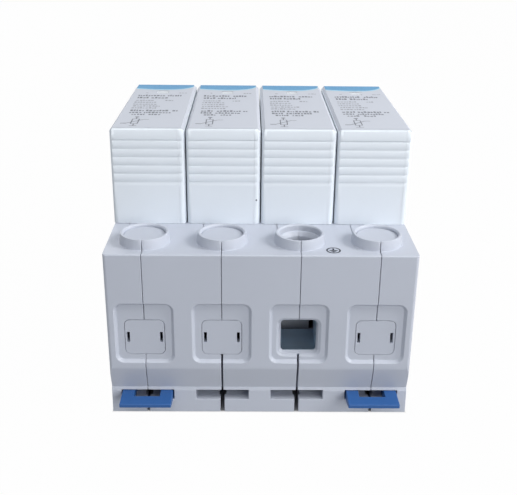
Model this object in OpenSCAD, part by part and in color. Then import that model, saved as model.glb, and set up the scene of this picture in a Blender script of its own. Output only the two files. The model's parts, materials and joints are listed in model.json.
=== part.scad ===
// Four-pole surge arrester for a rail: a base of moulded slices, four plug-in modules and two rail clips.
// X runs along the rail, Y from the earth terminals to the line terminals, Z away from the rail.
// The origin is the middle of the rail recess, in the plane of the back of the feet.

/* [Overall] */
// Width of one pole
pole_pitch = 18; // [17.6:0.1:20]
// Length of the base between its terminal faces
base_len = 90.6; // [89:0.2:96]
// Height of the terminal ledges
ledge_h = 42; // [41.5:0.5:46]
// Height of the module heads above the ledges
head_h = 23.8; // [21:0.2:28]
// Length of the module heads
head_len = 51.6; // [48:0.2:52]

/* [Base housing] */
// Thickness of the outer walls
shell_t = 1.8; // [1.6:0.1:2.2]
// Thickness of the walls between the poles
partition_t = 1.2; // [1:0.1:1.6]
// Thickness of the two end walls
end_wall_t = 1.2; // [1:0.1:1.4]
// Gap where two slices meet
seam_gap = 0.12; // [0.08:0.02:0.3]
// Gap between the two free slices under a terminal, where they stand apart
foot_gap = 0.44; // [0.3:0.02:0.6]
// Shortfall of each end from the full width of its pole
end_gap = 0.35; // [0:0.05:0.5]
// Radius of the upright outer corners
corner_r = 0.8; // [0.4:0.1:1.1]
// Size of the edge between a ledge and its terminal face
ledge_edge = 0.25; // [0.2:0.05:0.8]
// Height where a terminal face turns into the cove
skirt_z = 12.6; // [12:0.2:13]
// Height of the lip at the foot
lip_h = 6.5; // [6.4:0.1:7.4]
// Set-back of the lip from the terminal face
lip_set = 1.1; // [0.6:0.1:1.6]
// Set-back of the cove from the terminal face
cove_in = 1.8; // [1.7:0.1:2.4]
// Reach of the ledge tongues past the seam
tongue = 4.9; // [4:0.1:5.4]
// Radius of the tie rivets
rivet_r = 1.2; // [1:0.1:1.4]

/* [Terminals] */
// Distance of a screw axis from the terminal face
screw_set = 8.3; // [8.1:0.1:9]
// Outer radius of a screw well
well_r = 5.9; // [5.7:0.1:6.2]
// Height of a screw well above the ledge
boss_h = 2.4; // [1.4:0.1:3]
// Radius of a well's mouth
mouth_r = 4.85; // [4.7:0.05:5.3]
// Height of the middle of the wire openings
entry_z = 20.7; // [20.5:0.1:21.6]
// Width of a wire opening
entry_w = 9.4; // [8.8:0.1:9.8]
// Height of a wire opening
entry_h = 9.1; // [8.6:0.1:9.4]
// Width of the sunk panel around a wire opening
panel_w = 13.8; // [12.4:0.2:14.6]
// Height of the sunk panel around a wire opening
panel_h = 15.5; // [14:0.1:16.4]
// Depth of the sunk panel
panel_d = 0.8; // [0.4:0.1:1]
// Thread diameter of the clamp screws
thread_d = 5; // [4:0.5:5.5]
// Head diameter of the clamp screws
screw_head_d = 7; // [6.4:0.2:7.4]
// Lift of a clamp cage
cage_lift = 6.4; // [5:0.2:6.8]
// Thickness of the contact bars in the clamps
bar_t = 2; // [1.5:0.1:2.2]

/* [Rail foot] */
// Width of the rail
rail_w = 35; // [34.8:0.1:35.4]
// Thickness of the rail's flange
rail_t = 1; // [0.8:0.1:1.2]
// Depth of the rail seat above the back
seat_z = 6.8; // [6.7:0.1:7.2]
// Width of a rail clip
clip_w = 12.1; // [10:0.1:12.6]
// Thickness of a rail clip
clip_t = 2.3; // [2:0.1:2.4]
// Height of a rail clip above the back
clip_z = 3.55; // [3.4:0.05:4]
// Reach of a clip's handle in front of the lip
handle_reach = 5.8; // [4:0.1:7]
// Travel of a clip
clip_travel = 4.2; // [3.6:0.1:5]

/* [Plug-in module] */
// Gap between a module and what stands beside it
module_gap = 0.15; // [0.1:0.05:0.3]
// Thickness of a module's walls
module_t = 1.4; // [1.2:0.1:1.6]
// Thickness of a module's side lid
lid_t = 1.45; // [1.3:0.05:1.6]
// Radius of a head's upright edges
head_r = 1.2; // [0.6:0.1:1.6]
// Size of the bevel along a head's top edges
head_bevel = 0.8; // [0.4:0.1:1]
// Distance of the first grip crease from the top
rib_first = 2.9; // [2:0.1:3.4]
// Distance between grip creases
rib_pitch = 2.04; // [1.8:0.02:2.2]
// Depth of a grip crease
rib_d = 0.18; // [0.1:0.02:0.6]
// Width of a status window
window_w = 3.2; // [2:0.1:4]
// Length of a status window
window_l = 3.6; // [2:0.1:4]
// Thickness of the knife contacts
blade_t = 1.2; // [1:0.1:1.4]
// Width of the knife contacts
blade_w = 8; // [6:0.2:9]
// Thickness of a varistor block
varistor_t = 5.2; // [4:0.1:5.2]
// Swing of a trip lever, in degrees
trip_angle = 10; // [8:1:11]

/* [Hidden] */
$fn = 48;
poles = 4;
half_w = poles * pole_pitch / 2 - end_gap;
half_len = base_len / 2;
lip_y = half_len - lip_set;
cove_z = lip_h + 0.15;
top_z = ledge_h + head_h;
fit = 0.1;
rest_gap = 0.06;
joint_gap = 0.03;
seat = 0.2;

// module bay and the walls around it
bay_half = head_len / 2 - 0.8;
bay_out = bay_half + 1.4;
deck_z = seat_z + 1.4;
bay_floor = 20.2;
bay_floor_t = 1.6;
chamber_out = half_len - shell_t;
chamber_top = ledge_h - shell_t;
riser_out = bay_out + 2.8;

// clamp
axis_y = half_len - screw_set;
cage_floor = entry_z - entry_h / 2 + 0.1;
bar_z = entry_z + entry_h / 2 - 0.6;
bar_top = bar_z + bar_t;
cage_plate = 2.8;
cage_base = 1.5;
cage_in = 8.8;
cage_side = 1.2;
cage_half_y = 5.3;
cage_top = bar_top + seat + cage_plate;
floor_top = cage_floor - cage_base - seat;
low_top = floor_top - shell_t;
shelf_z = cage_top + cage_lift + 0.3;
shelf_t = 1.5;
head_z = shelf_z + shelf_t + 0.15;
screw_head_h = 3;
bore_r = screw_head_d / 2 + 0.4;
mouth_d = 1.6;
boss_top = ledge_h + boss_h;
rim_edge = 0.3;
panel_z = entry_z + 1.3;

// contacts
blade_y = head_len / 2 - 12;
blade_in = blade_y - blade_w / 2;
blade_out = blade_y + blade_w / 2;
strip_t = 1.5;
bar_half = 3.6;
leg_z = deck_z + seat;
leg_y = bay_out + seat;
finger_top = bay_floor - bay_floor_t - 0.6;

// rail recess and clip
rail_y = rail_w / 2 + 0.4;
hook_z = seat_z - rail_t - 0.4;
hook_in = 2.2;
clip_front = lip_y + handle_reach;
lug_y = 30;
lug_l = 2.4;

// rivets: two under the bays, two in the feet
rivet_high = [blade_in - 3.6, (deck_z + bay_floor - bay_floor_t) / 2];
rivet_low = [(leg_y + strip_t + chamber_out) / 2, deck_z + 2.4];
rivet_head_r = 2.3;
rivet_head_t = 0.9;

// module
head_half = pole_pitch / 2 - module_gap;
low_half = pole_pitch / 2 - max(partition_t / 2, end_wall_t + end_gap) - 0.3;
low_len = bay_half - 0.3;
head_z0 = ledge_h + rest_gap;
low_z0 = bay_floor + seat;
step_z = head_z0 + module_t;
head_inner_y = head_len / 2 - module_t - 0.2;
lid_x = head_half - lid_t;
lid_low_x = low_half - lid_t;
rib_count = 6;
blade_z0 = leg_z + strip_t + 1.2;

// inside of a module
strip_x = -low_half + module_t + 0.15;
tab_t = 0.8;
varistor_x = strip_x + tab_t + 0.05;
varistor_z0 = 27.5;
varistor_z1 = top_z - 7.6;
varistor_half = head_len / 2 - 9;
lug_x = varistor_x + varistor_t;
arm_x = lug_x + 0.65;
arm_t = 1;
lever_x = arm_x + arm_t + 0.2;
lever_t = 2.2;
link_r = 3;
pin_r = 1.4;
pivot = [blade_y, low_z0 + module_t + link_r + 0.3];
solder = [blade_y - 8.5, pivot[1] + 20.6];
flag_r = top_z - module_t - 1.2 - pivot[1];
window_x = 0;
window_y = head_len / 2 - 10.6;

// middle of pole n, counted from 1
function pole_x(n) = (n - 2.5) * pole_pitch;

// a flat outline in Y and Z, run from x0 to x1
module along_x(x0, x1) {
  translate([x0, 0, 0]) rotate([90, 0, 90]) linear_extrude(x1 - x0) children();
}

// a box between two corners
module span(lo, hi) {
  translate(lo) cube(hi - lo);
}

// a flat rectangle with rounded corners
module rounded(w, h, r) {
  square([w - 2 * r, h], center = true);
  square([w, h - 2 * r], center = true);
  for (sx = [-1, 1]) {
    for (sy = [-1, 1]) {
      translate([sx * (w / 2 - r), sy * (h / 2 - r)]) circle(r);
    }
  }
}

// a rounded pocket with sloped walls, mouth at z = 0, floor at z = -d
module pocket(w, h, r, d, slope) {
  hull() {
    translate([0, 0, -d]) linear_extrude(0.01) rounded(w - 2 * slope, h - 2 * slope, r - slope, $fn = 32);
    linear_extrude(0.2) rounded(w, h, r, $fn = 32);
  }
}

// places a thing on the terminal face of pole n, its z pointing out of the face
module on_face(n, s, z) {
  translate([pole_x(n), s * half_len, z]) rotate([90, 0, s > 0 ? 180 : 0]) children();
}

// Base housing

module base_outline() {
  polygon([
    [-lip_y, 0],
    [-lip_y + 0.25, lip_h - 0.7],
    [-lip_y + 0.55, lip_h],
    [-half_len + cove_in, cove_z],
    [-half_len, skirt_z],
    [-half_len, ledge_h - ledge_edge],
    [-half_len + ledge_edge, ledge_h],
    [half_len - ledge_edge, ledge_h],
    [half_len, ledge_h - ledge_edge],
    [half_len, skirt_z],
    [half_len - cove_in, cove_z],
    [lip_y - 0.55, lip_h],
    [lip_y - 0.25, lip_h - 0.7],
    [lip_y, 0]
  ]);
}

module rail_recess() {
  polygon([
    [-rail_y, -1],
    [-rail_y, seat_z],
    [rail_y, seat_z],
    [rail_y, hook_z],
    [rail_y - hook_in, hook_z],
    [rail_y - hook_in, hook_z - 1.5],
    [rail_y - 0.2, -1]
  ]);
}

// section of the walls that run across the poles
module shell_section() {
  low_y = half_len - cove_in - 2.2;
  difference() {
    base_outline();
    rail_recess();
    translate([-low_y, deck_z]) square([2 * low_y, low_top - deck_z]);
    translate([-riser_out, deck_z]) square([2 * riser_out, bay_floor - bay_floor_t - deck_z]);
    translate([-bay_half, bay_floor]) square([2 * bay_half, ledge_h]);
    for (s = [-1, 1]) {
      mirror([s > 0 ? 0 : 1, 0]) {
        translate([bay_out, floor_top]) square([chamber_out - bay_out, chamber_top - floor_top]);
        translate([bay_out, low_top - 1]) square([riser_out - bay_out, floor_top - low_top + 2]);
      }
    }
  }
}

// section of an upright wall
module wall_section() {
  difference() {
    base_outline();
    rail_recess();
  }
}

// the part of the ledge behind a screw well that one slice reaches over to its left neighbour
module ledge_tongue(n, s, grow) {
  y0 = bay_half - 1;
  y1 = axis_y + grow;
  difference() {
    span(
      [pole_x(n) - tongue - grow, s > 0 ? y0 : -y1, chamber_top - 0.5 - grow],
      [pole_x(n) + seam_gap, s > 0 ? y1 : -y0, boss_top + 1]
    );
    translate([pole_x(n), s * axis_y, 0]) cylinder(r = well_r + seam_gap - grow, h = boss_top + 2);
  }
}

// the space that slice k of the base fills, k from 0 at the left end to 4 at the right end
module slice_zone(k) {
  x0 = k == 0 ? -half_w : pole_x(k) + seam_gap / 2;
  x1 = k == poles ? half_w : pole_x(k + 1) - seam_gap / 2;
  difference() {
    union() {
      span([x0, -half_len - 1, -1], [x1, half_len + 1, boss_top + 1]);
      if (k > 0) {
        ledge_tongue(k, -1, 0);
        ledge_tongue(k, 1, 0);
      }
    }
    if (k < poles) {
      ledge_tongue(k + 1, -1, seam_gap);
      ledge_tongue(k + 1, 1, seam_gap);
    }
  }
}

// tube around a clamp screw, from its shelf up through the ledge
module screw_well(n, s) {
  translate([pole_x(n), s * axis_y, shelf_z]) {
    cylinder(r = well_r, h = boss_top - rim_edge - shelf_z);
    translate([0, 0, boss_top - rim_edge - shelf_z]) cylinder(r1 = well_r, r2 = well_r - rim_edge, h = rim_edge);
  }
}

module well_bores(n, s) {
  translate([pole_x(n), s * axis_y, 0]) {
    translate([0, 0, boss_top - mouth_d]) cylinder(r = mouth_r, h = mouth_d + 1);
    translate([0, 0, boss_top - rim_edge]) cylinder(r1 = mouth_r, r2 = mouth_r + rim_edge, h = rim_edge + 0.01);
    translate([0, 0, boss_top - mouth_d - 1]) cylinder(r1 = bore_r, r2 = mouth_r - 0.3, h = 1.01);
    translate([0, 0, shelf_z + shelf_t]) cylinder(r = bore_r, h = boss_top - mouth_d - shelf_z - shelf_t);
    translate([0, 0, shelf_z - 1]) cylinder(r = thread_d / 2 + 0.4, h = shelf_t + 2);
  }
}

// sunk panel and wire opening in a terminal face, the edge of an open one bevelled
module wire_entry(n, s, open) {
  on_face(n, s, panel_z) pocket(panel_w, panel_h, 2, panel_d, 0.6);
  on_face(n, s, entry_z) {
    translate([0, 0, -shell_t - 1]) linear_extrude(shell_t + 1) rounded(entry_w, entry_h, 1.4);
    if (open) {
      translate([0, 0, -panel_d]) pocket(entry_w + 1, entry_h + 1, 1.8, 0.5, 0.45);
    }
  }
}

// slots in the bay floor for the two knife contacts
module blade_slots(n) {
  half = blade_t / 2 + 0.5;
  for (s = [-1, 1]) {
    translate([pole_x(n), s * blade_y, bay_floor]) cube([2 * half, blade_w + 1, 8], center = true);
  }
}

// channel of a rail clip, its stop groove, and the notch in the lip below
module clip_channel(n) {
  x = pole_x(n);
  half = clip_w / 2 + 0.3;
  notch = n == 1 || n == poles ? 0.3 : 0.5;
  span([x - half, -half_len - 1, clip_z - fit], [x + half, -rail_y + 1, clip_z + clip_t + fit]);
  span([x - notch, -half_len - 1, -1], [x + notch, -rail_y + 1, clip_z]);
  span([x - 0.85, -lip_y + 2.5, -1], [x + 0.85, -rail_y + 1, clip_z]);
  if (n > 1 && n < poles) {
    span([x - foot_gap / 2, -half_len - 1, clip_z], [x + foot_gap / 2, -chamber_out + 1, entry_z]);
  }
  span(
    [x - 2.3, -lug_y - clip_travel - lug_l - 0.2, clip_z],
    [x + 2.3, -lug_y + 0.2, clip_z + clip_t + 1.1]
  );
}

// hollow in the back of the far foot, either side of the seam
module foot_core(n) {
  for (side = [-1, 1]) {
    translate([pole_x(n) + side * (pole_pitch / 4 - 0.1), rail_y + 14, 2]) {
      cube([pole_pitch / 2 - 3.4, 15, 9], center = true);
    }
  }
}

// runs a thing to all four rivets, at the given places along X
module at_rivets(x) {
  for (p = [rivet_high, rivet_low]) {
    for (s = [-1, 1]) {
      translate([x, s * p[0], p[1]]) rotate([0, 90, 0]) children();
    }
  }
}

// one slice of the base
module base_slice(k) {
  wall_x0 = k == 0 ? -half_w : k == poles ? half_w - end_wall_t : pole_x(k) + pole_pitch / 2 - partition_t / 2;
  wall_x1 = k == 0 ? -half_w + end_wall_t : k == poles ? half_w : wall_x0 + partition_t;
  x0 = k == 0 ? -half_w : pole_x(k) - tongue;
  x1 = k == poles ? half_w : pole_x(k + 1);
  first = max(k, 1);
  last = min(k + 1, poles);
  difference() {
    intersection() {
      union() {
        along_x(x0, x1) shell_section();
        along_x(wall_x0, wall_x1) wall_section();
        for (n = [first:last]) {
          screw_well(n, -1);
          screw_well(n, 1);
        }
        if (k == 0) {
          at_rivets(-half_w) cylinder(r = rivet_head_r + 0.9, h = 2.2);
        }
        if (k == poles) {
          at_rivets(half_w - 2.2) cylinder(r = rivet_head_r + 0.9, h = 2.2);
        }
      }
      slice_zone(k);
      if (k == 0 || k == poles) {
        linear_extrude(boss_top + 1) rounded(2 * half_w, base_len, corner_r);
      }
    }
    for (n = [first:last]) {
      well_bores(n, -1);
      well_bores(n, 1);
      wire_entry(n, -1, n == 3);
      wire_entry(n, 1, true);
      blade_slots(n);
      clip_channel(n);
      foot_core(n);
    }
    at_rivets(wall_x0 - 3) cylinder(r = rivet_r + 0.1, h = wall_x1 - wall_x0 + 6);
    if (k == 0) {
      at_rivets(-half_w - 1) cylinder(r = rivet_head_r + 0.1, h = rivet_head_t + 1.1);
    }
    if (k == poles) {
      at_rivets(half_w - rivet_head_t - 0.1) cylinder(r = rivet_head_r + 0.1, h = rivet_head_t + 1.1);
    }
    if (k > 0 && k < poles) {
      span([wall_x0 - 1, -leg_y - strip_t - 0.3, deck_z], [wall_x1 + 1, -bay_out, leg_z + 6.3]);
    }
  }
}

module base_part(k) {
  color("#d9dde3") base_slice(k);
}

// rivets through all slices, a head at each end
module tie_rivets() {
  color("#b9bcc0") {
    at_rivets(-half_w + rivet_head_t) cylinder(r = rivet_r, h = 2 * (half_w - rivet_head_t));
    at_rivets(-half_w + 0.1) cylinder(r = rivet_head_r, h = rivet_head_t);
    at_rivets(half_w - 0.1 - rivet_head_t) cylinder(r = rivet_head_r, h = rivet_head_t);
  }
}

// closes an unused earth terminal: cover in the wire opening, disc in the well, a web between them
module blanking_insert(n) {
  x = pole_x(n);
  y = -half_len + panel_d;
  web = 1.6;
  disc_z = boss_top - mouth_d + 0.05;
  color("#d9dde3") {
    difference() {
      union() {
        on_face(n, -1, entry_z) {
          translate([0, 0, -shell_t - fit]) {
            linear_extrude(shell_t + fit - panel_d) rounded(entry_w - 2 * fit, entry_h - 2 * fit, 1.3);
          }
          translate([0, 0, -shell_t - fit - 1]) linear_extrude(1) square([entry_w + 2, entry_h + 1], center = true);
        }
        span([x - web / 2, -chamber_out + 0.6, entry_z - 3], [x + web / 2, -axis_y + 2, entry_z + 3]);
        translate([x, -axis_y, entry_z - 3]) cylinder(r = thread_d / 2, h = disc_z - entry_z + 3);
        translate([x, -axis_y, head_z]) cylinder(r = bore_r - 0.3, h = disc_z - head_z);
        translate([x, -axis_y, disc_z]) cylinder(r = mouth_r - fit, h = 0.8);
      }
      for (side = [-1, 1]) {
        translate([x + side * (entry_w / 2 - 0.85), y, entry_z]) cube([0.68, 6, 2.7], center = true);
      }
    }
  }
}

// Contacts and clamps

// fork that grips a knife contact, on its foot strip
module fork(n, s) {
  x = pole_x(n);
  slot = blade_t / 2 + 0.05;
  y0 = s > 0 ? blade_in : -blade_out;
  span([x - bar_half, s > 0 ? blade_in : -leg_y - strip_t, leg_z],
    [x + bar_half, s > 0 ? leg_y + strip_t : -blade_in, leg_z + strip_t]);
  for (side = [-1, 1]) {
    translate([x + side * (slot + 0.55) - 0.55, y0, leg_z]) cube([1.1, blade_w, finger_top - leg_z]);
  }
}

// riser and clamp end of a contact bar
module clamp_bar(n, s) {
  x = pole_x(n);
  y1 = axis_y + 4.6;
  span([x - bar_half, s > 0 ? leg_y : -leg_y - strip_t, leg_z],
    [x + bar_half, s > 0 ? leg_y + strip_t : -leg_y, bar_top]);
  span([x - bar_half, s > 0 ? leg_y : -y1, bar_z], [x + bar_half, s > 0 ? y1 : -leg_y, bar_top]);
}

module line_bar(n) {
  color("#b98a55") {
    fork(n, 1);
    clamp_bar(n, 1);
  }
}

module earth_busbar() {
  color("#b98a55") {
    for (n = [1:poles]) {
      fork(n, -1);
    }
    span([pole_x(1) - bar_half, -leg_y - strip_t, leg_z], [pole_x(poles) + bar_half, -leg_y, leg_z + 6]);
    clamp_bar(3, -1);
  }
}

// cage that a screw lifts to press the wire against its bar
module clamp_cage(n, s) {
  half = cage_in / 2 + cage_side;
  color("#9a9da2") {
    translate([pole_x(n), s * axis_y, 0]) {
      difference() {
        span([-half, -cage_half_y, cage_floor - cage_base], [half, cage_half_y, cage_top]);
        span([-cage_in / 2, -cage_half_y - 1, cage_floor], [cage_in / 2, cage_half_y + 1, bar_top + seat]);
        translate([0, 0, bar_top]) cylinder(r = thread_d / 2 + 0.05, h = cage_plate + 1);
      }
    }
  }
}

// screw with a crossed slot, its tip on the contact bar
module clamp_screw(n, s) {
  color("#8d9096") {
    translate([pole_x(n), s * axis_y, 0]) {
      difference() {
        union() {
          translate([0, 0, bar_top + 0.1]) cylinder(r = thread_d / 2, h = head_z - bar_top);
          translate([0, 0, head_z]) cylinder(r = screw_head_d / 2, h = screw_head_h - 0.4);
          translate([0, 0, head_z + screw_head_h - 0.4]) {
            cylinder(r1 = screw_head_d / 2, r2 = screw_head_d / 2 - 0.4, h = 0.4);
          }
        }
        translate([0, 0, head_z + screw_head_h]) {
          cube([screw_head_d + 1, 1.1, 2.8], center = true);
          cube([1.1, screw_head_d * 0.6, 3.4], center = true);
        }
      }
    }
  }
}

// clip that slides in the near foot: handle with a slot, stop lug, and the tongue under the rail
module rail_clip(n) {
  x = pole_x(n);
  z1 = clip_z + clip_t;
  color("#2f5fa5") {
    translate([x, 0, 0]) {
      difference() {
        union() {
          along_x(-clip_w / 2, clip_w / 2) polygon([
            [-clip_front, z1 - 1],
            [-clip_front, z1 - 0.15],
            [-clip_front + 0.15, z1],
            [-rail_y - 0.6, z1],
            [-rail_y - 0.6, clip_z],
            [-lip_y - 1, clip_z]
          ]);
          along_x(-clip_w / 2 + 1.2, clip_w / 2 - 1.2) polygon([
            [-rail_y - 2, clip_z],
            [-rail_y - 2, hook_z],
            [-rail_y + hook_in, hook_z],
            [-rail_y + hook_in, hook_z - 0.5],
            [-rail_y + hook_in - 1.2, clip_z]
          ]);
          span([-2, -lug_y - lug_l, z1 - 0.5], [2, -lug_y, z1 + 0.8]);
        }
        span([-3.1, -lip_y - 2.3, clip_z - 1], [3.1, -lip_y + 6.5, z1 + 1]);
        for (side = [-1, 1]) {
          translate([side * (clip_w / 2 - 1.8), -lip_y + 12, clip_z]) cube([0.8, 16, 8], center = true);
        }
      }
    }
  }
}

// Plug-in module

// side view of the head, with the soft ribs of its grips at both ends
module head_profile() {
  y = head_len / 2;
  steps = 8;
  c0 = top_z - rib_first;
  grip = [for (i = [0:rib_count - 2]) for (j = [0:steps - 1])
    [y - rib_d * (1 - sqrt(sin(180 * j / steps))), c0 - (i + j / steps) * rib_pitch]];
  last = c0 - (rib_count - 1) * rib_pitch;
  side = concat(
    [[y, top_z - head_bevel / 2], [y, c0 + 0.5], [y - rib_d * 0.3, c0 + 0.2]],
    grip,
    [[y - rib_d, last], [y - rib_d * 0.3, last - 0.5], [y, last - 1], [y, head_z0]]
  );
  flip = [for (i = [len(side) - 1:-1:0]) [-side[i][0], side[i][1]]];
  polygon(concat([[-y + head_bevel / 2, top_z], [y - head_bevel / 2, top_z]], side, flip));
}

// outside of a module: the head on the ledges, the narrower part in the bay
module module_outside() {
  b = head_bevel;
  intersection() {
    translate([0, 0, head_z0]) linear_extrude(top_z - head_z0 + 1) rounded(2 * head_half, head_len, head_r);
    along_x(-head_half - 1, head_half + 1) head_profile();
    translate([0, head_len, 0]) rotate([90, 0, 0]) linear_extrude(2 * head_len) polygon([
      [-head_half, head_z0 - 1],
      [-head_half, top_z - b],
      [-head_half + b, top_z],
      [head_half - b, top_z],
      [head_half, top_z - b],
      [head_half, head_z0 - 1]
    ]);
  }
  span([-low_half, -low_len, low_z0], [low_half, low_len, head_z0 + 0.5]);
}

module module_hollow() {
  span([-head_half + module_t, -head_inner_y, step_z], [lid_x + 1, head_inner_y, top_z - module_t]);
  span([-low_half + module_t, -low_len + module_t, low_z0 + module_t],
    [lid_low_x + 1, low_len - module_t, step_z + 1]);
}

// the side that the lid closes, grown by the joint gap on request
module lid_zone(grow) {
  low_y = low_len + grow;
  span([lid_x - grow, -half_len, head_z0 - 1], [head_half + 2, half_len, top_z + 1]);
  span([lid_low_x - grow, -low_y, low_z0 - 1], [head_half + 2, low_y, step_z + grow]);
}

module module_housing(n) {
  color("#e9ebee") {
    translate([pole_x(n), 0, 0]) {
      difference() {
        module_outside();
        module_hollow();
        lid_zone(joint_gap);
        translate([window_x, window_y, top_z]) cube([window_w, window_l, 6], center = true);
        for (s = [-1, 1]) {
          translate([0, s * blade_y, low_z0]) cube([blade_t + 0.2, blade_w + 0.2, 6], center = true);
        }
      }
    }
  }
}

// lid with the pivot pin of the trip lever
module module_lid(n) {
  color("#e9ebee") {
    translate([pole_x(n), 0, 0]) {
      intersection() {
        module_outside();
        lid_zone(0);
      }
      translate([arm_x - 0.1, pivot[0], pivot[1]]) rotate([0, 90, 0]) cylinder(r = pin_r, h = lid_low_x - arm_x + 0.3);
    }
  }
}

// clear window with a flange under the roof
module status_window(n) {
  color("#dfe8ee") {
    translate([pole_x(n) + window_x, window_y, 0]) {
      translate([0, 0, top_z - module_t / 2 - 0.05]) {
        cube([window_w - 0.1, window_l - 0.1, module_t + 0.1], center = true);
      }
      translate([0, 0, top_z - module_t - 0.45]) cube([window_w + 1.6, window_l + 1.6, 0.8], center = true);
    }
  }
}

// coated varistor block with the tab that the disconnector arm is soldered to
module varistor(n) {
  color("#3d5a80") {
    translate([pole_x(n), 0, 0]) {
      translate([varistor_x, 0, (varistor_z0 + varistor_z1) / 2]) rotate([90, 0, 90]) {
        linear_extrude(varistor_t) rounded(2 * varistor_half, varistor_z1 - varistor_z0, 1.5);
      }
      translate([lug_x - 0.1, solder[0], solder[1]]) rotate([0, 90, 0]) cylinder(r = 2.6, h = 0.7);
    }
  }
}

// the two knife contacts: the earth one folded to the back of the varistor, the line one up to the pivot
module knife_contacts(n) {
  foot_z = varistor_z0 - 1.4;
  color("#c9a06a") {
    translate([pole_x(n), 0, 0]) {
      span([-blade_t / 2, -blade_out, blade_z0], [blade_t / 2, -blade_in, foot_z + 0.8]);
      span([strip_x, -blade_out, foot_z], [blade_t / 2, -blade_in, foot_z + 0.8]);
      span([strip_x, -blade_out, foot_z], [strip_x + tab_t, -blade_in, varistor_z0 + 16]);
      span([-blade_t / 2, blade_in, blade_z0], [blade_t / 2, blade_out, foot_z + 0.8]);
    }
  }
}

// flat bar between two round ends
module link(a, b, ra, rb) {
  d = b - a;
  u = [-d[1], d[0]] / norm(d);
  translate(a) circle(ra);
  translate(b) circle(rb);
  polygon([a + u * ra * 0.9, a - u * ra * 0.9, b - u * rb * 0.9, b + u * rb * 0.9]);
}

// copper arm of the thermal disconnector, pivoted on the lid's pin
module trip_arm(n) {
  color("#b4693c") {
    translate([pole_x(n), 0, 0]) along_x(arm_x, arm_x + arm_t) {
      difference() {
        link(pivot, solder, link_r, 2.4);
        translate(pivot) circle(pin_r + 0.08);
      }
    }
  }
}

// lever that swings with the arm and carries the flag under the window
module trip_lever(n) {
  reach = flag_r + 4;
  a0 = -2.5;
  a1 = 15;
  color("#3f9a55") {
    translate([pole_x(n), 0, 0]) {
      along_x(lever_x, lever_x + lever_t) {
        difference() {
          link(pivot, pivot + [1, flag_r - 3], link_r, 1.4);
          translate(pivot) circle(pin_r + 0.08);
        }
      }
      along_x(window_x - window_w / 2 - 0.5, lever_x + lever_t) {
        intersection() {
          difference() {
            translate(pivot) circle(flag_r, $fn = 180);
            translate(pivot) circle(flag_r - 1.8, $fn = 180);
          }
          polygon([
            pivot,
            pivot + reach * [sin(a0), cos(a0)],
            pivot + reach * [sin(a1), cos(a1)]
          ]);
        }
      }
    }
  }
}

// leaf spring between the end wall and the lever
module trip_spring(n) {
  y = low_len - module_t - 0.2;
  z = pivot[1] + link_r;
  color("#c8c8c0") {
    translate([pole_x(n), 0, 0]) along_x(lever_x, lever_x + lever_t) polygon([
      [y, z],
      [y, z + 9],
      [pivot[0] + link_r, z + 16.5],
      [pivot[0] + link_r - 0.4, z + 16.1],
      [y - 0.5, z + 8.7],
      [y - 0.5, z]
    ]);
  }
}

base_part(0);  // base_left_end
base_part(1);  // base_middle_1
base_part(2);  // base_middle_2
base_part(3);  // base_middle_3
base_part(4);  // base_right_end
tie_rivets();
blanking_insert(1);  // blanking_insert_1
blanking_insert(2);  // blanking_insert_2
blanking_insert(4);  // blanking_insert_4
earth_busbar();
clamp_cage(3, -1);  // earth_cage
clamp_screw(3, -1);  // earth_screw
rail_clip(1);  // rail_clip_left
rail_clip(4);  // rail_clip_right
for (n = [1:4]) {
  line_bar(n);
  clamp_cage(n, 1);
  clamp_screw(n, 1);
  module_housing(n);
  module_lid(n);
  status_window(n);
  varistor(n);
  knife_contacts(n);
  trip_arm(n);
  trip_lever(n);
  trip_spring(n);
}
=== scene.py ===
import json
import math
import random

import bmesh
import bpy
from mathutils import Matrix, Vector


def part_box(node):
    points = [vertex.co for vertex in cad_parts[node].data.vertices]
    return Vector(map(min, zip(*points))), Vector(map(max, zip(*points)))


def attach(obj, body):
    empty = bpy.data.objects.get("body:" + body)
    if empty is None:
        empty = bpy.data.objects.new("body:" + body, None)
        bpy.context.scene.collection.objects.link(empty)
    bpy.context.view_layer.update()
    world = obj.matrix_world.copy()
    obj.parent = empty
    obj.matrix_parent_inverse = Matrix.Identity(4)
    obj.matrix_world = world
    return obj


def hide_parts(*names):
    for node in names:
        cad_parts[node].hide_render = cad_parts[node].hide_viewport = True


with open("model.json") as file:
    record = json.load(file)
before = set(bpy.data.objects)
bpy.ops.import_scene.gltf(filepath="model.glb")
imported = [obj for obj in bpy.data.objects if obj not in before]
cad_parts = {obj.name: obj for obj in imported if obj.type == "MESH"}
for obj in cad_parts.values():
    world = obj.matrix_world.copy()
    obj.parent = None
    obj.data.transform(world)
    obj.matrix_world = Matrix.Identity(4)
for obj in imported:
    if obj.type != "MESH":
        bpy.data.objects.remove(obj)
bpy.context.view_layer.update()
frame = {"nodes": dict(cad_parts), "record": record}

# Base housing: five slices moulded in pale grey polyamide and riveted together on the pole centres.
# Their edges are softened by a small round, as on a moulding, and the surface has a fine spark-eroded grain.
MM = 0.001
POLES = (1, 2, 3, 4)
PITCH = 18 * MM
SLICES = ("base_left_end", "base_middle_1", "base_middle_2", "base_middle_3", "base_right_end")
# corners this near are one point, and what is shorter than a sliver is nothing
MERGE, SLIVER = 0.03 * MM, 0.001 * MM
# faces that turn less than the first are one face, and edges that turn more than the second are shaded sharp
FLAT, CREASE = math.radians(0.4), math.radians(50)
EDGE_STEPS = 2


def pole_x(n):
    """Place of a pole's centre plane across the base."""
    return (n - sum(POLES) / len(POLES)) * PITCH


def body_of(node):
    """The body that a CAD node belongs to."""
    for body, members in frame["record"]["behaviour"]["bodies"].items():
        if node in members:
            return body


def made(name, bm):
    """The object of a finished mesh, in the scene."""
    mesh = bpy.data.meshes.new(name)
    bm.to_mesh(mesh)
    bm.free()
    piece = bpy.data.objects.new(name, mesh)
    bpy.context.scene.collection.objects.link(piece)
    return piece


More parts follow.
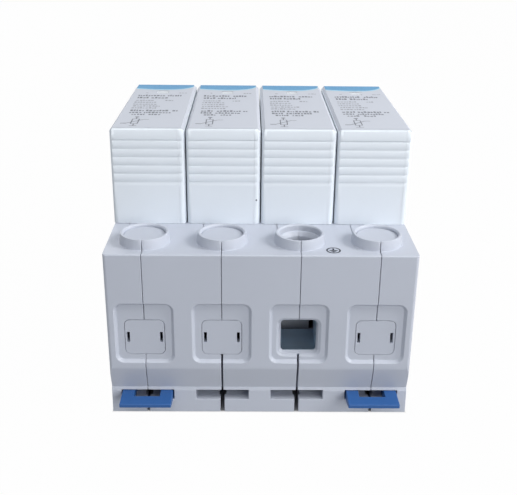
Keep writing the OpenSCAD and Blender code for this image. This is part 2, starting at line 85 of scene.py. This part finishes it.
def soften(node, width, angle=28, crisp=None, shape=None):
    """A copy of a CAD node with flat faces merged and its edges rounded, in place of the node.
    Edges that turn more than angle are rounded, except where both ends pass the test crisp,
    and shape works on the copy first."""
    bm = bmesh.new()
    bm.from_mesh(frame["nodes"][node].data)
    bmesh.ops.remove_doubles(bm, verts=bm.verts, dist=MERGE)
    bmesh.ops.dissolve_limit(bm, angle_limit=FLAT, verts=bm.verts, edges=bm.edges)
    if shape:
        shape(bm)
    sharp = [e for e in bm.edges if len(e.link_faces) == 2 and e.calc_face_angle() > math.radians(angle)]
    if crisp:
        sharp = [e for e in sharp if not all(crisp(v.co) for v in e.verts)]
    bmesh.ops.bevel(bm, geom=sharp, offset=width, offset_type="OFFSET", affect="EDGES",
                    segments=EDGE_STEPS, profile=0.5, material=-1, clamp_overlap=False)
    bmesh.ops.dissolve_degenerate(bm, dist=SLIVER, edges=bm.edges)
    bmesh.ops.recalc_face_normals(bm, faces=bm.faces)
    bm.normal_update()
    for f in bm.faces:
        f.smooth = True
    for e in bm.edges:
        e.smooth = e.calc_face_angle(math.pi) < CREASE
    piece = made(node + "_skin", bm)
    level = piece.modifiers.new("level faces", "WEIGHTED_NORMAL")
    level.keep_sharp = True
    level.weight = 95
    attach(piece, body_of(node))
    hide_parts(node)
    return piece


class Sock:
    """A shader socket that takes part in sums, with one method for every other kind of node."""

    def __init__(self, tree, socket):
        self.tree, self.socket = tree, socket

    def put(self, value, entry):
        """Links a socket to a node's entry, or sets the entry to a plain value."""
        if isinstance(value, Sock):
            self.tree.links.new(value.socket, entry)
        else:
            entry.default_value = value

    def math(self, op, a, b):
        n = self.tree.nodes.new("ShaderNodeMath")
        n.operation = op
        self.put(a, n.inputs[0])
        self.put(b, n.inputs[1])
        return Sock(self.tree, n.outputs[0])

    def __add__(self, o):
        return self.math("ADD", self, o)

    def __radd__(self, o):
        return self.math("ADD", o, self)

    def __sub__(self, o):
        return self.math("SUBTRACT", self, o)

    def __rsub__(self, o):
        return self.math("SUBTRACT", o, self)

    def __mul__(self, o):
        return self.math("MULTIPLY", self, o)

    def __rmul__(self, o):
        return self.math("MULTIPLY", o, self)

    def node(self, kind, out=0, settings=None, **inputs):
        """Another node: its settings first, then its entries, by name or by the letter i and a number."""
        n = self.tree.nodes.new(kind)
        for key, value in (settings or {}).items():
            setattr(n, key, value)
        for key, value in inputs.items():
            numbered = key[0] == "i" and key[1:].isdigit()
            self.put(value, n.inputs[int(key[1:]) if numbered else key.replace("_", " ")])
        return Sock(self.tree, n.outputs[out])

    def between(self, low, high):
        """A colour between two others, where this socket says how far."""
        return self.node("ShaderNodeMix", out=2, settings={"data_type": "RGBA"}, i0=self, i6=low, i7=high)


def new_material(name, rough, metallic=0.0, **constants):
    """A material with its shader, and a socket of object coordinates to start from."""
    mat = bpy.data.materials.new(name)
    mat.use_nodes = True
    tree = mat.node_tree
    shader = tree.nodes["Principled BSDF"]
    shader.inputs["Roughness"].default_value = rough
    shader.inputs["Metallic"].default_value = metallic
    for key, value in constants.items():
        shader.inputs[key.replace("_", " ")].default_value = value
    coord = Sock(tree, tree.nodes.new("ShaderNodeTexCoord").outputs["Object"])
    return mat, shader, coord


def feed(shader, name, sock):
    sock.tree.links.new(sock.socket, shader.inputs[name])


def tinted(color, gain):
    """A colour made darker or lighter."""
    return (*[min(1, c * gain) for c in color], 1)


GLOSS_WEAR = 0.12
GRAIN_DEPTH = 0.2 * MM


def plastic(name, color, rough, grain=0.05, mottle=0.03, **constants):
    """Moulded plastic: slow drift of tone, patches of wear in the gloss, and a fine grain."""
    mat, shader, coord = new_material(name, rough, **constants)
    slow = coord.node("ShaderNodeTexNoise", Vector=coord, Scale=55.0, Detail=3.0)
    fine = coord.node("ShaderNodeTexNoise", Vector=coord, Scale=2600.0, Detail=2.0)
    feed(shader, "Base Color", slow.between(tinted(color, 1 - mottle), tinted(color, 1 + mottle)))
    feed(shader, "Roughness", slow * GLOSS_WEAR + (rough - GLOSS_WEAR / 2))
    feed(shader, "Normal", coord.node("ShaderNodeBump", Height=fine, Strength=grain, Distance=GRAIN_DEPTH))
    return mat


def paint(piece, mat):
    piece.data.materials.clear()
    piece.data.materials.append(mat)


BASE_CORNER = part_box("base_left_end")[1]
FACE = BASE_CORNER.y
LEDGE = 42.0 * MM
# a screw well: its axis, the radius of its boss, and the rim that the boss's wall leans in to
WELL_AXIS = FACE - 8.3 * MM
WELL_R = 5.9 * MM
RIM = BASE_CORNER.z - 0.3 * MM
RIM_DRAFT = 1.2 * MM
# the seam behind a well: how far below the ledge it closes, and half of what stays open
SEAM_DOWN = 4 * MM
SEAM_HALF = 0.004 * MM
# the turn from the terminal face into the cove
SKIRT = 12.6 * MM
SKIRT_ROUND = 1.0 * MM
SKIRT_BACK = 0.07 * MM
# how near a point has to be to count as on a flat, on a boss's wall or on a seam
ON_FLAT, ON_WALL, ON_SEAM = 0.02 * MM, 0.05 * MM, 0.1 * MM


def nearest_seam(x):
    """The pole's centre plane that is nearest to a place across the base."""
    return min((pole_x(n) for n in POLES), key=lambda seam: abs(x - seam))


def from_well(co):
    """Distance of a point from the axis of the nearest screw well."""
    return math.hypot(co.x - nearest_seam(co.x), abs(co.y) - WELL_AXIS)


def behind_boss(co):
    """On the seam above the ledge, from a well's axis to the module, where the halves close tightly."""
    on_seam = abs(co.x - nearest_seam(co.x)) < ON_SEAM
    return on_seam and co.z > LEDGE - SEAM_DOWN and abs(co.y) < WELL_AXIS + ON_SEAM


def on_skirt(co):
    """On the edge where a terminal face turns into the cove."""
    return abs(co.z - SKIRT) < ON_FLAT and abs(abs(co.y) - FACE) < ON_FLAT


def shape_slice(bm):
    """Lets the edge round each screw boss start lower, so that its wall leans in as the moulding's does,
    closes the seam behind the wells to a hair, and rounds the turn into the cove."""
    for v in bm.verts:
        if abs(v.co.z - RIM) < ON_FLAT and abs(from_well(v.co) - WELL_R) < ON_WALL:
            v.co.z -= RIM_DRAFT
        if behind_boss(v.co):
            seam = nearest_seam(v.co.x)
            v.co.x = seam + math.copysign(SEAM_HALF, v.co.x - seam)
    for z in (SKIRT + SKIRT_ROUND, SKIRT - SKIRT_ROUND):
        bmesh.ops.bisect_plane(bm, geom=bm.verts[:] + bm.edges[:] + bm.faces[:], dist=SLIVER,
                               plane_co=(0, 0, z), plane_no=(0, 0, 1))
    for v in bm.verts:
        if on_skirt(v.co):
            v.co.y -= math.copysign(SKIRT_BACK, v.co.y)


base_plastic = plastic("base_plastic", (0.50, 0.53, 0.605), 0.5)
for node in SLICES:
    paint(soften(node, width=0.12 * MM, angle=14, crisp=behind_boss, shape=shape_slice), base_plastic)

# Lead-in of each open wire mouth: the sloped inner edge of the moulded wall, down to the clamp behind it.
# It is part of the two slices there and lies inside the wall. The earth mouth is in front, the line mouths behind.
EARTH_POLE = 3
MOUTH_W, MOUTH_H, MOUTH_R = 9.38 * MM, 9.08 * MM, 1.4 * MM
MOUTH_Y, MOUTH_Z = FACE - 1.3 * MM, 20.7 * MM
LEAD_IN, LEAD_DEPTH = 0.52 * MM, 0.9 * MM
CORNER_STEPS = 6
for name, n, turn in [("earth", EARTH_POLE, 0.0)] + [(f"line_{n}", n, math.pi) for n in POLES]:
    bm = bmesh.new()
    bmesh.ops.create_grid(bm, x_segments=1, y_segments=1, size=0.5)
    bmesh.ops.scale(bm, vec=(MOUTH_W, MOUTH_H, 1), verts=bm.verts)
    bmesh.ops.bevel(bm, geom=bm.verts, offset=MOUTH_R, offset_type="OFFSET", affect="VERTICES",
                    segments=CORNER_STEPS, profile=0.5, material=-1)
    funnel = bmesh.ops.inset_region(bm, faces=bm.faces[:], use_boundary=True, use_even_offset=True,
                                    thickness=LEAD_IN, depth=-LEAD_DEPTH)
    bmesh.ops.delete(bm, geom=[f for f in bm.faces if f not in funnel["faces"]], context="FACES_ONLY")
    in_wall = Matrix.Translation((0, -MOUTH_Y, MOUTH_Z)) @ Matrix.Rotation(math.pi / 2, 4, "X")
    at_pole = Matrix.Translation((pole_x(n), 0, 0)) @ Matrix.Rotation(turn, 4, "Z")
    bmesh.ops.transform(bm, matrix=at_pole @ in_wall, verts=bm.verts)
    lead = made(f"{name}_lead_in", bm)
    lead.data.shade_smooth()
    paint(lead, base_plastic)
    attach(lead, "base")

# Blanking inserts: covers and discs that close the unused earth places, in the same plastic.
# Each is one moulding caught between two slices.
for n in POLES:
    if n != EARTH_POLE:
        paint(soften(f"blanking_insert_{n}", width=0.05 * MM), base_plastic)

# Tie rivets: plated steel rods through all slices, which they hold together.
# Their heads are sunk in the end walls.
STREAK_GLOSS, PATCH_GLOSS, GLOSS_DOWN = 0.1, 0.15, 0.1


def metal(name, color, rough):
    """Plated metal with fine drawn streaks and duller patches."""
    mat, shader, coord = new_material(name, rough, metallic=1.0)
    drawn = coord.node("ShaderNodeMapping", Vector=coord, Scale=(4000.0, 300.0, 300.0))
    streak = coord.node("ShaderNodeTexNoise", Vector=drawn, Scale=1.0, Detail=2.0)
    patch = coord.node("ShaderNodeTexNoise", Vector=coord, Scale=250.0, Detail=4.0)
    feed(shader, "Base Color", patch.between(tinted(color, 0.85), tinted(color, 1.12)))
    feed(shader, "Roughness", streak * STREAK_GLOSS + patch * PATCH_GLOSS + (rough - GLOSS_DOWN))
    return mat


plated = metal("plated_steel", (0.62, 0.63, 0.66), 0.38)
paint(soften("tie_rivets", width=0.15 * MM), plated)

# Contacts: tinned copper bars with forks, the earth one linking all poles.
# They are stamped and bent from strip, and lie in pockets of the slices.
copper = metal("contact_metal", (0.55, 0.565, 0.61), 0.7)
for node in ["earth_busbar"] + [f"line_bar_{n}" for n in POLES]:
    paint(soften(node, width=0.1 * MM), copper)

# Clamps: zinc-plated cages, dulled by handling, bent round to a box that pulls the wire up to the bar.
# Each is lifted by a steel screw with a crossed slot and a rolled thread.
cage_metal = metal("cage_steel", (0.50, 0.62, 0.73), 0.5)
screw_metal = metal("screw_steel", (0.30, 0.30, 0.32), 0.35)
SCREW_HEAD = 3.0 * MM
NECK = 0.2 * MM
THREAD_R = 2.5 * MM
THREAD_ROOT = 2.05 * MM
THREAD_PITCH = 0.8 * MM
# what stays plain at the tip and under the head
PLAIN_TIP, PLAIN_NECK = 0.5 * MM, 0.9 * MM
TURN_STEPS = 24
# the ridge in section: distance from the axis, and place along it in pitches
CREST, SUNK = THREAD_R - 0.02 * MM, THREAD_ROOT - 0.05 * MM
RIDGE = ((SUNK, -0.36), (CREST, -0.07), (CREST, 0.07), (SUNK, 0.36))


def threaded(piece, node):
    """Necks the plain shank of a screw down to its root and winds the thread on it."""
    lo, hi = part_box(node)
    axis = (lo + hi) / 2
    head = hi.z - SCREW_HEAD
    bm = bmesh.new()
    bm.from_mesh(piece.data)
    for v in bm.verts:
        r = math.hypot(v.co.x - axis.x, v.co.y - axis.y)
        if v.co.z < head - NECK and r > THREAD_ROOT:
            v.co.x = axis.x + (v.co.x - axis.x) * THREAD_ROOT / r
            v.co.y = axis.y + (v.co.y - axis.y) * THREAD_ROOT / r
    start = lo.z + PLAIN_TIP
    steps = int((head - PLAIN_NECK - start) / THREAD_PITCH * TURN_STEPS)
    ridge = [bm.verts.new((axis.x + r, axis.y, start + k * THREAD_PITCH)) for r, k in RIDGE]
    edges = [bm.edges.new(ends) for ends in zip(ridge, ridge[1:])]
    bmesh.ops.spin(bm, geom=edges, cent=axis, axis=(0, 0, 1), dvec=(0, 0, THREAD_PITCH / TURN_STEPS),
                   angle=2 * math.pi * steps / TURN_STEPS, steps=steps, use_duplicate=False)
    bmesh.ops.recalc_face_normals(bm, faces=bm.faces)
    bm.to_mesh(piece.data)
    bm.free()


for cage, screw in [("earth_cage", "earth_screw")] + [(f"line_cage_{n}", f"line_screw_{n}") for n in POLES]:
    paint(soften(cage, width=0.12 * MM), cage_metal)
    turned = soften(screw, width=0.08 * MM)
    threaded(turned, screw)
    paint(turned, screw_metal)

# Rail clips: blue nylon sliders in the near foot, each moulded in one piece.
# A slot in the end takes the screwdriver that pulls it off the rail.
clip_plastic = plastic("clip_plastic", (0.015, 0.092, 0.30), 0.42, mottle=0.06)
for side in ("left", "right"):
    paint(soften(f"rail_clip_{side}", width=0.12 * MM), clip_plastic)

# Module housings and their side lids: near-white moulded shells with soft grip ribs at both ends.
# A lid closes the right-hand side of each housing, and the edge that stands on the ledge is nearly sharp.
module_plastic = plastic("module_plastic", (0.775, 0.824, 0.88), 0.6, Specular_IOR_Level=0.25)
LID_JOINT = 7.4 * MM
ON_JOINT = 0.12 * MM
FOOT = LEDGE + 0.05 * MM
FOOT_SPARE = 0.05 * MM
FOOT_KEPT = 0.2


def closed_joint(co):
    """On the joint between a housing and its lid."""
    return min(abs(co.x - pole_x(n) - LID_JOINT) for n in POLES) < ON_JOINT


for n in POLES:
    for part, edge in (("housing", 0.13 * MM), ("lid", 0.08 * MM)):
        shell = soften(f"module_{part}_{n}", edge, angle=60, crisp=closed_joint)
        for v in shell.data.vertices:
            if FOOT < v.co.z < FOOT + edge + FOOT_SPARE:
                v.co.z = FOOT + (v.co.z - FOOT) * FOOT_KEPT
        paint(shell, module_plastic)

# Status windows: small clear panes in the roofs, over the flags of the trip levers, held by a flange underneath.
# Seen from above they are clear, and at a flat angle they shine white.
CLEAR, SHINE = 0.12, 0.7
PANE_ROUGH, HAZE = 0.2, 0.1
pane, pane_shader, pane_coord = new_material("window_clear", PANE_ROUGH, IOR=1.49)
facing = pane_coord.node("ShaderNodeLayerWeight", out=1, Blend=0.5)
feed(pane_shader, "Alpha", facing * SHINE + CLEAR)
haze = pane_coord.node("ShaderNodeTexNoise", Vector=pane_coord, Scale=900.0)
feed(pane_shader, "Roughness", haze * HAZE + (PANE_ROUGH - HAZE / 2))
feed(pane_shader, "Base Color", haze.between((0.80, 0.85, 0.91, 1), (0.86, 0.91, 0.97, 1)))
for n in POLES:
    paint(soften(f"status_window_{n}", width=0.05 * MM), pane)

# Inside of a module: coated varistor, knife contacts, disconnector arm, trip lever and its leaf spring.
# The lever's flag shows pale while the arm is soldered and red once it has swung.
coat = plastic("varistor_coat", (0.06, 0.11, 0.24), 0.4)
spring = metal("spring_steel", (0.66, 0.66, 0.62), 0.3)
FLAG_SPLIT = 18.5 * MM
flag, flag_shader, flag_coord = new_material("flag_plastic", 0.5)
along = flag_coord.node("ShaderNodeSeparateXYZ", out=1, Vector=flag_coord)
past_split = along.math("GREATER_THAN", along, FLAG_SPLIT)
speckle = flag_coord.node("ShaderNodeTexNoise", Vector=flag_coord, Scale=400.0)
pale = speckle.between((0.92, 0.94, 0.95, 1), (0.96, 0.97, 0.98, 1))
feed(flag_shader, "Base Color", past_split.between(pale, (0.80, 0.015, 0.015, 1)))
for n in POLES:
    for part, edge, mat in (("varistor", 0.3 * MM, coat), ("knife_contacts", 0.1 * MM, copper),
                            ("trip_arm", 0.1 * MM, copper), ("trip_lever", 0.1 * MM, flag),
                            ("trip_spring", 0.05 * MM, spring)):
        paint(soften(f"{part}_{n}", edge), mat)

# Label on each module: a grey film with a blue band at its far end and small print, stuck on the roof.
# Its two long rims are folded down over the roof's bevels, and the window is cut out of it.
# The print is rows of plain blocks and the sign for a varistor.
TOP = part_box("module_housing_1")[1].z
FILM = 0.05 * MM
INK = 0.015 * MM
INK_TOP = TOP + FILM + INK


def flat_piece(name, body, mat, outlines, z):
    """Flat shapes of ink or film at one height, facing up."""
    bm = bmesh.new()
    for outline in outlines:
        bm.faces.new([bm.verts.new((x, y, z)) for x, y in outline])
    bmesh.ops.recalc_face_normals(bm, faces=bm.faces)
    for f in bm.faces:
        if f.normal.z < 0:
            f.normal_flip()
    piece = made(name, bm)
    paint(piece, mat)
    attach(piece, body)
    return piece


def block(x0, y0, x1, y1):
    return [(x0, y0), (x1, y0), (x1, y1), (x0, y1)]


def stroke(a, b, w):
    """A straight stroke of ink from a to b."""
    a, b = Vector(a), Vector(b)
    u = (b - a).normalized()
    side = Vector((-u.y, u.x)) * (w / 2)
    return [tuple(p) for p in (a + side, a - side, b - side, b + side)]


def strokes(cx, cy, rows):
    """Strokes about a centre, from rows of both ends and the width in millimetres."""
    return [stroke((cx + x0 * MM, cy + y0 * MM), (cx + x1 * MM, cy + y1 * MM), w * MM)
            for x0, y0, x1, y1, w in rows]


def ink(name, color):
    """Printed ink, a little uneven in tone."""
    mat, shader, coord = new_material(name, 0.6, Specular_IOR_Level=0.15)
    uneven = coord.node("ShaderNodeTexNoise", Vector=coord, Scale=1500.0, Detail=2.0)
    feed(shader, "Base Color", uneven.between(tinted(color, 0.85), tinted(color, 1.2)))
    return mat


film = plastic("label_film", (0.555, 0.58, 0.645), 0.6, grain=0.02, mottle=0.02, Specular_IOR_Level=0.15)
band_blue = ink("band_blue", (0.13, 0.32, 0.53))
fringe_blue = ink("fringe_blue", (0.36, 0.62, 0.76))
ink_dark = ink("ink_dark", (0.19, 0.20, 0.23))
ink_grey = ink("ink_grey", (0.30, 0.31, 0.35))

# half width of the flat roof, width of the folded rims, and how much they are cut back at their ends
ROOF, FOLD, FOLD_IN = 8.05 * MM, 0.65 * MM, 0.5 * MM
LABEL_Y = (-25.35 * MM, 25.4 * MM)
PANE_LO, PANE_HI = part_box("status_window_1")
PANE_FLANGE = 0.8 * MM
HOLE_X = (PANE_HI.x - PANE_LO.x) / 2 - PANE_FLANGE
HOLE_Y = (PANE_HI.y - PANE_LO.y) / 2 - PANE_FLANGE
HOLE_AT = ((PANE_HI.x + PANE_LO.x) / 2 - pole_x(1), (PANE_HI.y + PANE_LO.y) / 2)
# rows of print: place along the module, height, the stretches they cover, and whether they are bold
ROWS = (
    (14.2, 0.8, ((-4.2, -3.4), (5.0, 7.2)), False),
    (10.6, 1.8, ((-5.9, 1.4), (2.2, 5.9)), True),
    (7.8, 1.8, ((-5.8, -2.6), (-2.0, 2.9)), True),
    (4.4, 1.1, ((-5.8, -0.7), (2.1, 4.2)), False),
    (2.1, 1.1, ((-5.9, -0.1),), False),
    (-0.2, 1.1, ((-5.9, 0.2),), False),
    (-2.4, 1.1, ((-5.7, 1.6),), False),
    (-4.6, 1.1, ((-5.8, 0.6),), False),
    (-7.5, 1.6, ((-5.7, -2.2), (-1.7, 4.4), (5.0, 6.3)), True),
    (-9.7, 1.4, ((-5.7, -2.6), (-2.0, 4.7)), True),
    (-11.8, 1.3, ((-4.8, -1.6), (-0.6, 2.5)), True),
)
PRINT_SEED = 100
PRINT_LEFT = 0.45 * MM
# blocks of print in millimetres: widths, gaps and the shares of the row's height that they fill
BLOCK_W, BLOCK_GAP, BLOCK_TALL = (0.35, 0.75), (0.15, 0.3), (0.62, 0.8, 1.0)
BLOCK_LEAST = 0.3
# lower edge of the blue band, bowed, and the width of the pale blue under it
BAND_EDGE = (
    (-8.0, 20.5), (-6.0, 19.8), (-3.0, 19.2), (0.0, 19.0), (3.0, 19.2), (5.4, 20.2), (7.0, 21.6), (8.0, 23.4),
)
FRINGE = 0.9 * MM
# sign for a varistor: a box, its two leads, and the bent line across it
SIGN_AT = (-3.5 * MM, -19.0 * MM)
SIGN = (
    (-0.8, -2.4, -0.8, 2.4, 0.26), (0.8, -2.4, 0.8, 2.4, 0.26),
    (-0.8, -2.4, 0.8, -2.4, 0.26), (-0.8, 2.4, 0.8, 2.4, 0.26),
    (0.0, 2.4, 0.0, 4.3, 0.26), (0.0, -2.4, 0.0, -4.3, 0.26),
    (-2.0, -2.0, 1.9, 1.9, 0.26), (-3.3, -2.0, -1.9, -2.0, 0.45), (1.9, 1.9, 3.2, 1.9, 0.26),
    (-0.5, 4.45, 0.5, 4.45, 0.7), (-0.9, -4.3, 0.9, -4.3, 0.26),
)
for n in POLES:
    draw = random.Random(PRINT_SEED + n)
    cx = pole_x(n)
    body = f"module_{n}"
    hx, hy = cx + HOLE_AT[0], HOLE_AT[1]
    y0, y1 = LABEL_Y
    x0, x1 = cx - ROOF, cx + ROOF
    film_faces = [
        block(x0, y0, x1, hy - HOLE_Y),
        block(x0, hy - HOLE_Y, hx - HOLE_X, hy + HOLE_Y),
        block(hx + HOLE_X, hy - HOLE_Y, x1, hy + HOLE_Y),
        block(x0, hy + HOLE_Y, x1, y1),
        [(x1, y0), (x1 + FOLD, y0 + FOLD_IN), (x1 + FOLD, y1 - FOLD_IN), (x1, y1)],
        [(x0, y0), (x0 - FOLD, y0 + FOLD_IN), (x0 - FOLD, y1 - FOLD_IN), (x0, y1)],
    ]
    label = flat_piece(f"label_{n}", body, film, film_faces, TOP + FILM)
    for v in label.data.vertices:
        v.co.z -= max(0.0, abs(v.co.x - cx) - ROOF)
    edge = [(cx + x * MM, y * MM) for x, y in BAND_EDGE]
    band = [(x0, y1)] + edge + [(x1, y1)]
    flat_piece(f"band_{n}", body, band_blue, [band], INK_TOP)
    fringe = [[a, (a[0], a[1] - FRINGE), (b[0], b[1] - FRINGE), b] for a, b in zip(edge, edge[1:])]
    flat_piece(f"fringe_{n}", body, fringe_blue, fringe, INK_TOP)
    px = cx - PRINT_LEFT
    bold, faint = [], []
    for y, h, stretches, dark in ROWS:
        low = y - h / 2
        for x, end in stretches:
            while x < end - BLOCK_LEAST:
                w = draw.uniform(*BLOCK_W)
                tall = h * draw.choice(BLOCK_TALL)
                (bold if dark else faint).append(
                    block(px + x * MM, low * MM, px + min(x + w, end) * MM, (low + tall) * MM))
                x += w + draw.uniform(*BLOCK_GAP)
    sign = strokes(cx + SIGN_AT[0], SIGN_AT[1], SIGN)
    flat_piece(f"print_bold_{n}", body, ink_dark, bold + sign, INK_TOP)
    flat_piece(f"print_fine_{n}", body, ink_grey, faint, INK_TOP)

# Earth sign on the ledge between poles 3 and 4: a ring round three bars and a stem.
# It is printed in black on the moulding.
EARTH_X, EARTH_Y = 16.45 * MM, -42.2 * MM
RING_OUT, RING_IN = 1.68 * MM, 1.32 * MM
RING_STEPS = 32
EARTH_BARS = (
    (0.0, 1.1, 0.0, 0.0, 0.4), (-0.95, 0.0, 0.95, 0.0, 0.4),
    (-0.6, -0.52, 0.6, -0.52, 0.34), (-0.28, -0.95, 0.28, -0.95, 0.3),
)


def on_ring(r, step):
    """A point of the sign's ring, by its radius and its step round the ring."""
    angle = math.radians(360 * step / RING_STEPS)
    return EARTH_X + r * math.cos(angle), EARTH_Y + r * math.sin(angle)


ring = [[on_ring(RING_OUT, i), on_ring(RING_OUT, i + 1), on_ring(RING_IN, i + 1), on_ring(RING_IN, i)]
        for i in range(RING_STEPS)]
flat_piece("earth_sign", "base", ink("ink_black", (0.04, 0.045, 0.06)),
           ring + strokes(EARTH_X, EARTH_Y, EARTH_BARS), LEDGE + INK)

# A black speck of dirt on the front of the second module.
# It is a flat crumb that sticks to the plastic.
SPECK_R = 0.2 * MM
SPECK_SHAPE = (1.0, 0.3, 1.25)
SPECK_AT = (-1.03 * MM, -25.8 * MM, 48.25 * MM)
bm = bmesh.new()
bmesh.ops.create_icosphere(bm, subdivisions=2, radius=SPECK_R)
bmesh.ops.scale(bm, vec=SPECK_SHAPE, verts=bm.verts)
bmesh.ops.translate(bm, vec=SPECK_AT, verts=bm.verts)
speck = made("speck", bm)
paint(speck, ink_dark)
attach(speck, "module_2")

# Floor and backdrop: plain white to the eye and in reflections, keeping a trace of the shadow, with a painted
# contact shadow where the white glow is taken off under and just round the base.
# It throws back little light, as the table in the photo did, so that the terminal face keeps its tone.
WHITE = (1, 1, 1, 1)
FLOOR_HALF = 3.0
FLOOR_GLOW = 0.985
# half width and half length of the painted contact shadow under the base, where the floor's glow is off, and where
# its edge fades
PAINTED_SHADOW_X, PAINTED_SHADOW_Y = 35.6 * MM, 44.2 * MM
SHADOW_FADE_IN, SHADOW_FADE_OUT = -0.7 * MM, 0.5 * MM


def seen(tree):
    """1 for rays of the camera, and for those that metal and glass send on."""
    rays = tree.nodes.new("ShaderNodeLightPath")
    camera_ray, glossy, through = (Sock(tree, rays.outputs[k]) for k in (
        "Is Camera Ray", "Is Glossy Ray", "Is Transmission Ray"))
    return camera_ray.math("MAXIMUM", camera_ray, glossy.math("MAXIMUM", glossy, through))


bm = bmesh.new()
bmesh.ops.create_grid(bm, x_segments=1, y_segments=1, size=FLOOR_HALF)
floor = made("floor", bm)
floor_mat = bpy.data.materials.new("floor")
floor_mat.use_nodes = True
tree = floor_mat.node_tree
tree.nodes.clear()
eye = seen(tree)
coord = Sock(tree, tree.nodes.new("ShaderNodeTexCoord").outputs["Object"])
# painted contact shadow: the glow fades out over the base's footprint, so the dark diffuse floor shows there with
# a soft edge
apart = coord.node("ShaderNodeVectorMath", settings={"operation": "ABSOLUTE"}, i0=coord)
past_end = coord.node("ShaderNodeSeparateXYZ", out=0, Vector=apart) - PAINTED_SHADOW_X
past_front = coord.node("ShaderNodeSeparateXYZ", out=1, Vector=apart) - PAINTED_SHADOW_Y
outside = past_end.math("MAXIMUM", past_end, past_front)
glow_past_painted_shadow = coord.node("ShaderNodeMapRange", settings={"interpolation_type": "SMOOTHSTEP"}, Value=outside,
                        From_Min=SHADOW_FADE_IN, From_Max=SHADOW_FADE_OUT, To_Min=0.0, To_Max=1.0)
diffuse = eye.node("ShaderNodeBsdfDiffuse", Color=(0.34, 0.34, 0.35, 1))
glow = eye.node("ShaderNodeEmission", Color=WHITE, Strength=1.0)
mixed = eye.node("ShaderNodeMixShader", i0=eye * FLOOR_GLOW * glow_past_painted_shadow, i1=diffuse, i2=glow)
out = tree.nodes.new("ShaderNodeOutputMaterial")
tree.links.new(mixed.socket, out.inputs["Surface"])
paint(floor, floor_mat)

world = bpy.data.worlds.new("studio")
bpy.context.scene.world = world
world.use_nodes = True
tree = world.node_tree
tree.nodes.clear()
eye = seen(tree)
white = eye.node("ShaderNodeBackground", Color=WHITE, Strength=1.0)
dim = eye.node("ShaderNodeBackground", Color=(0.90, 0.95, 1.0, 1), Strength=0.35)
mixed = eye.node("ShaderNodeMixShader", i0=eye, i1=dim, i2=white)
out = tree.nodes.new("ShaderNodeOutputWorld")
tree.links.new(mixed.socket, out.inputs["Surface"])

# Lights: a soft key on the right, broad weak ones in front and behind, and a broad fill from above.
# All four are round soft boxes aimed at the middle of the base.
AIM = Vector((0, 0, 0.03))


def area_light(name, place, size, power, color=(1, 1, 1)):
    data = bpy.data.lights.new(name, "AREA")
    data.shape = "DISK"
    data.size = size
    data.energy = power
    data.color = color
    lamp = bpy.data.objects.new(name, data)
    bpy.context.scene.collection.objects.link(lamp)
    lamp.location = place
    lamp.rotation_euler = (AIM - Vector(place)).to_track_quat("-Z", "Y").to_euler()


area_light("key", place=(0.44, -0.12, 0.37), size=0.24, power=2.1, color=(1.0, 0.99, 0.97))
area_light("front", place=(0.40, -0.70, 0.25), size=0.5, power=2.55)
area_light("fill", place=(-0.1, -0.3, 1.0), size=0.8, power=2.8)
area_light("back", place=(-0.45, 0.70, 0.22), size=0.5, power=1.9)

# Camera: where the photo was taken from, found from its outlines and the 18 mm between the poles.
# Its focal length is in pixels of the photo's width.
PHOTO_W, FOCAL = 517, 814.8
SENSOR = 36
CAMERA_AT = (-3.0 * MM, -212.9 * MM, 113.4 * MM)
PITCH_DOWN, YAW, ROLL = math.radians(22.52), math.radians(0.80), math.radians(-0.63)
bpy.context.scene.view_settings.view_transform = "Standard"
forward = Vector((math.sin(YAW) * math.cos(PITCH_DOWN), math.cos(YAW) * math.cos(PITCH_DOWN),
                  -math.sin(PITCH_DOWN)))
right = forward.cross(Vector((0, 0, 1))).normalized()
down = forward.cross(right).normalized()
right, down = (math.cos(ROLL) * right + math.sin(ROLL) * down,
               math.cos(ROLL) * down - math.sin(ROLL) * right)
lens = bpy.data.cameras.new("camera")
lens.sensor_width = SENSOR
lens.lens = FOCAL / PHOTO_W * SENSOR
lens.clip_start = 0.01
camera = bpy.data.objects.new("camera", lens)
bpy.context.scene.collection.objects.link(camera)
turned_to = Matrix((right, -down, -forward)).transposed().to_4x4()
camera.matrix_world = Matrix.Translation(CAMERA_AT) @ turned_to
bpy.context.scene.camera = camera
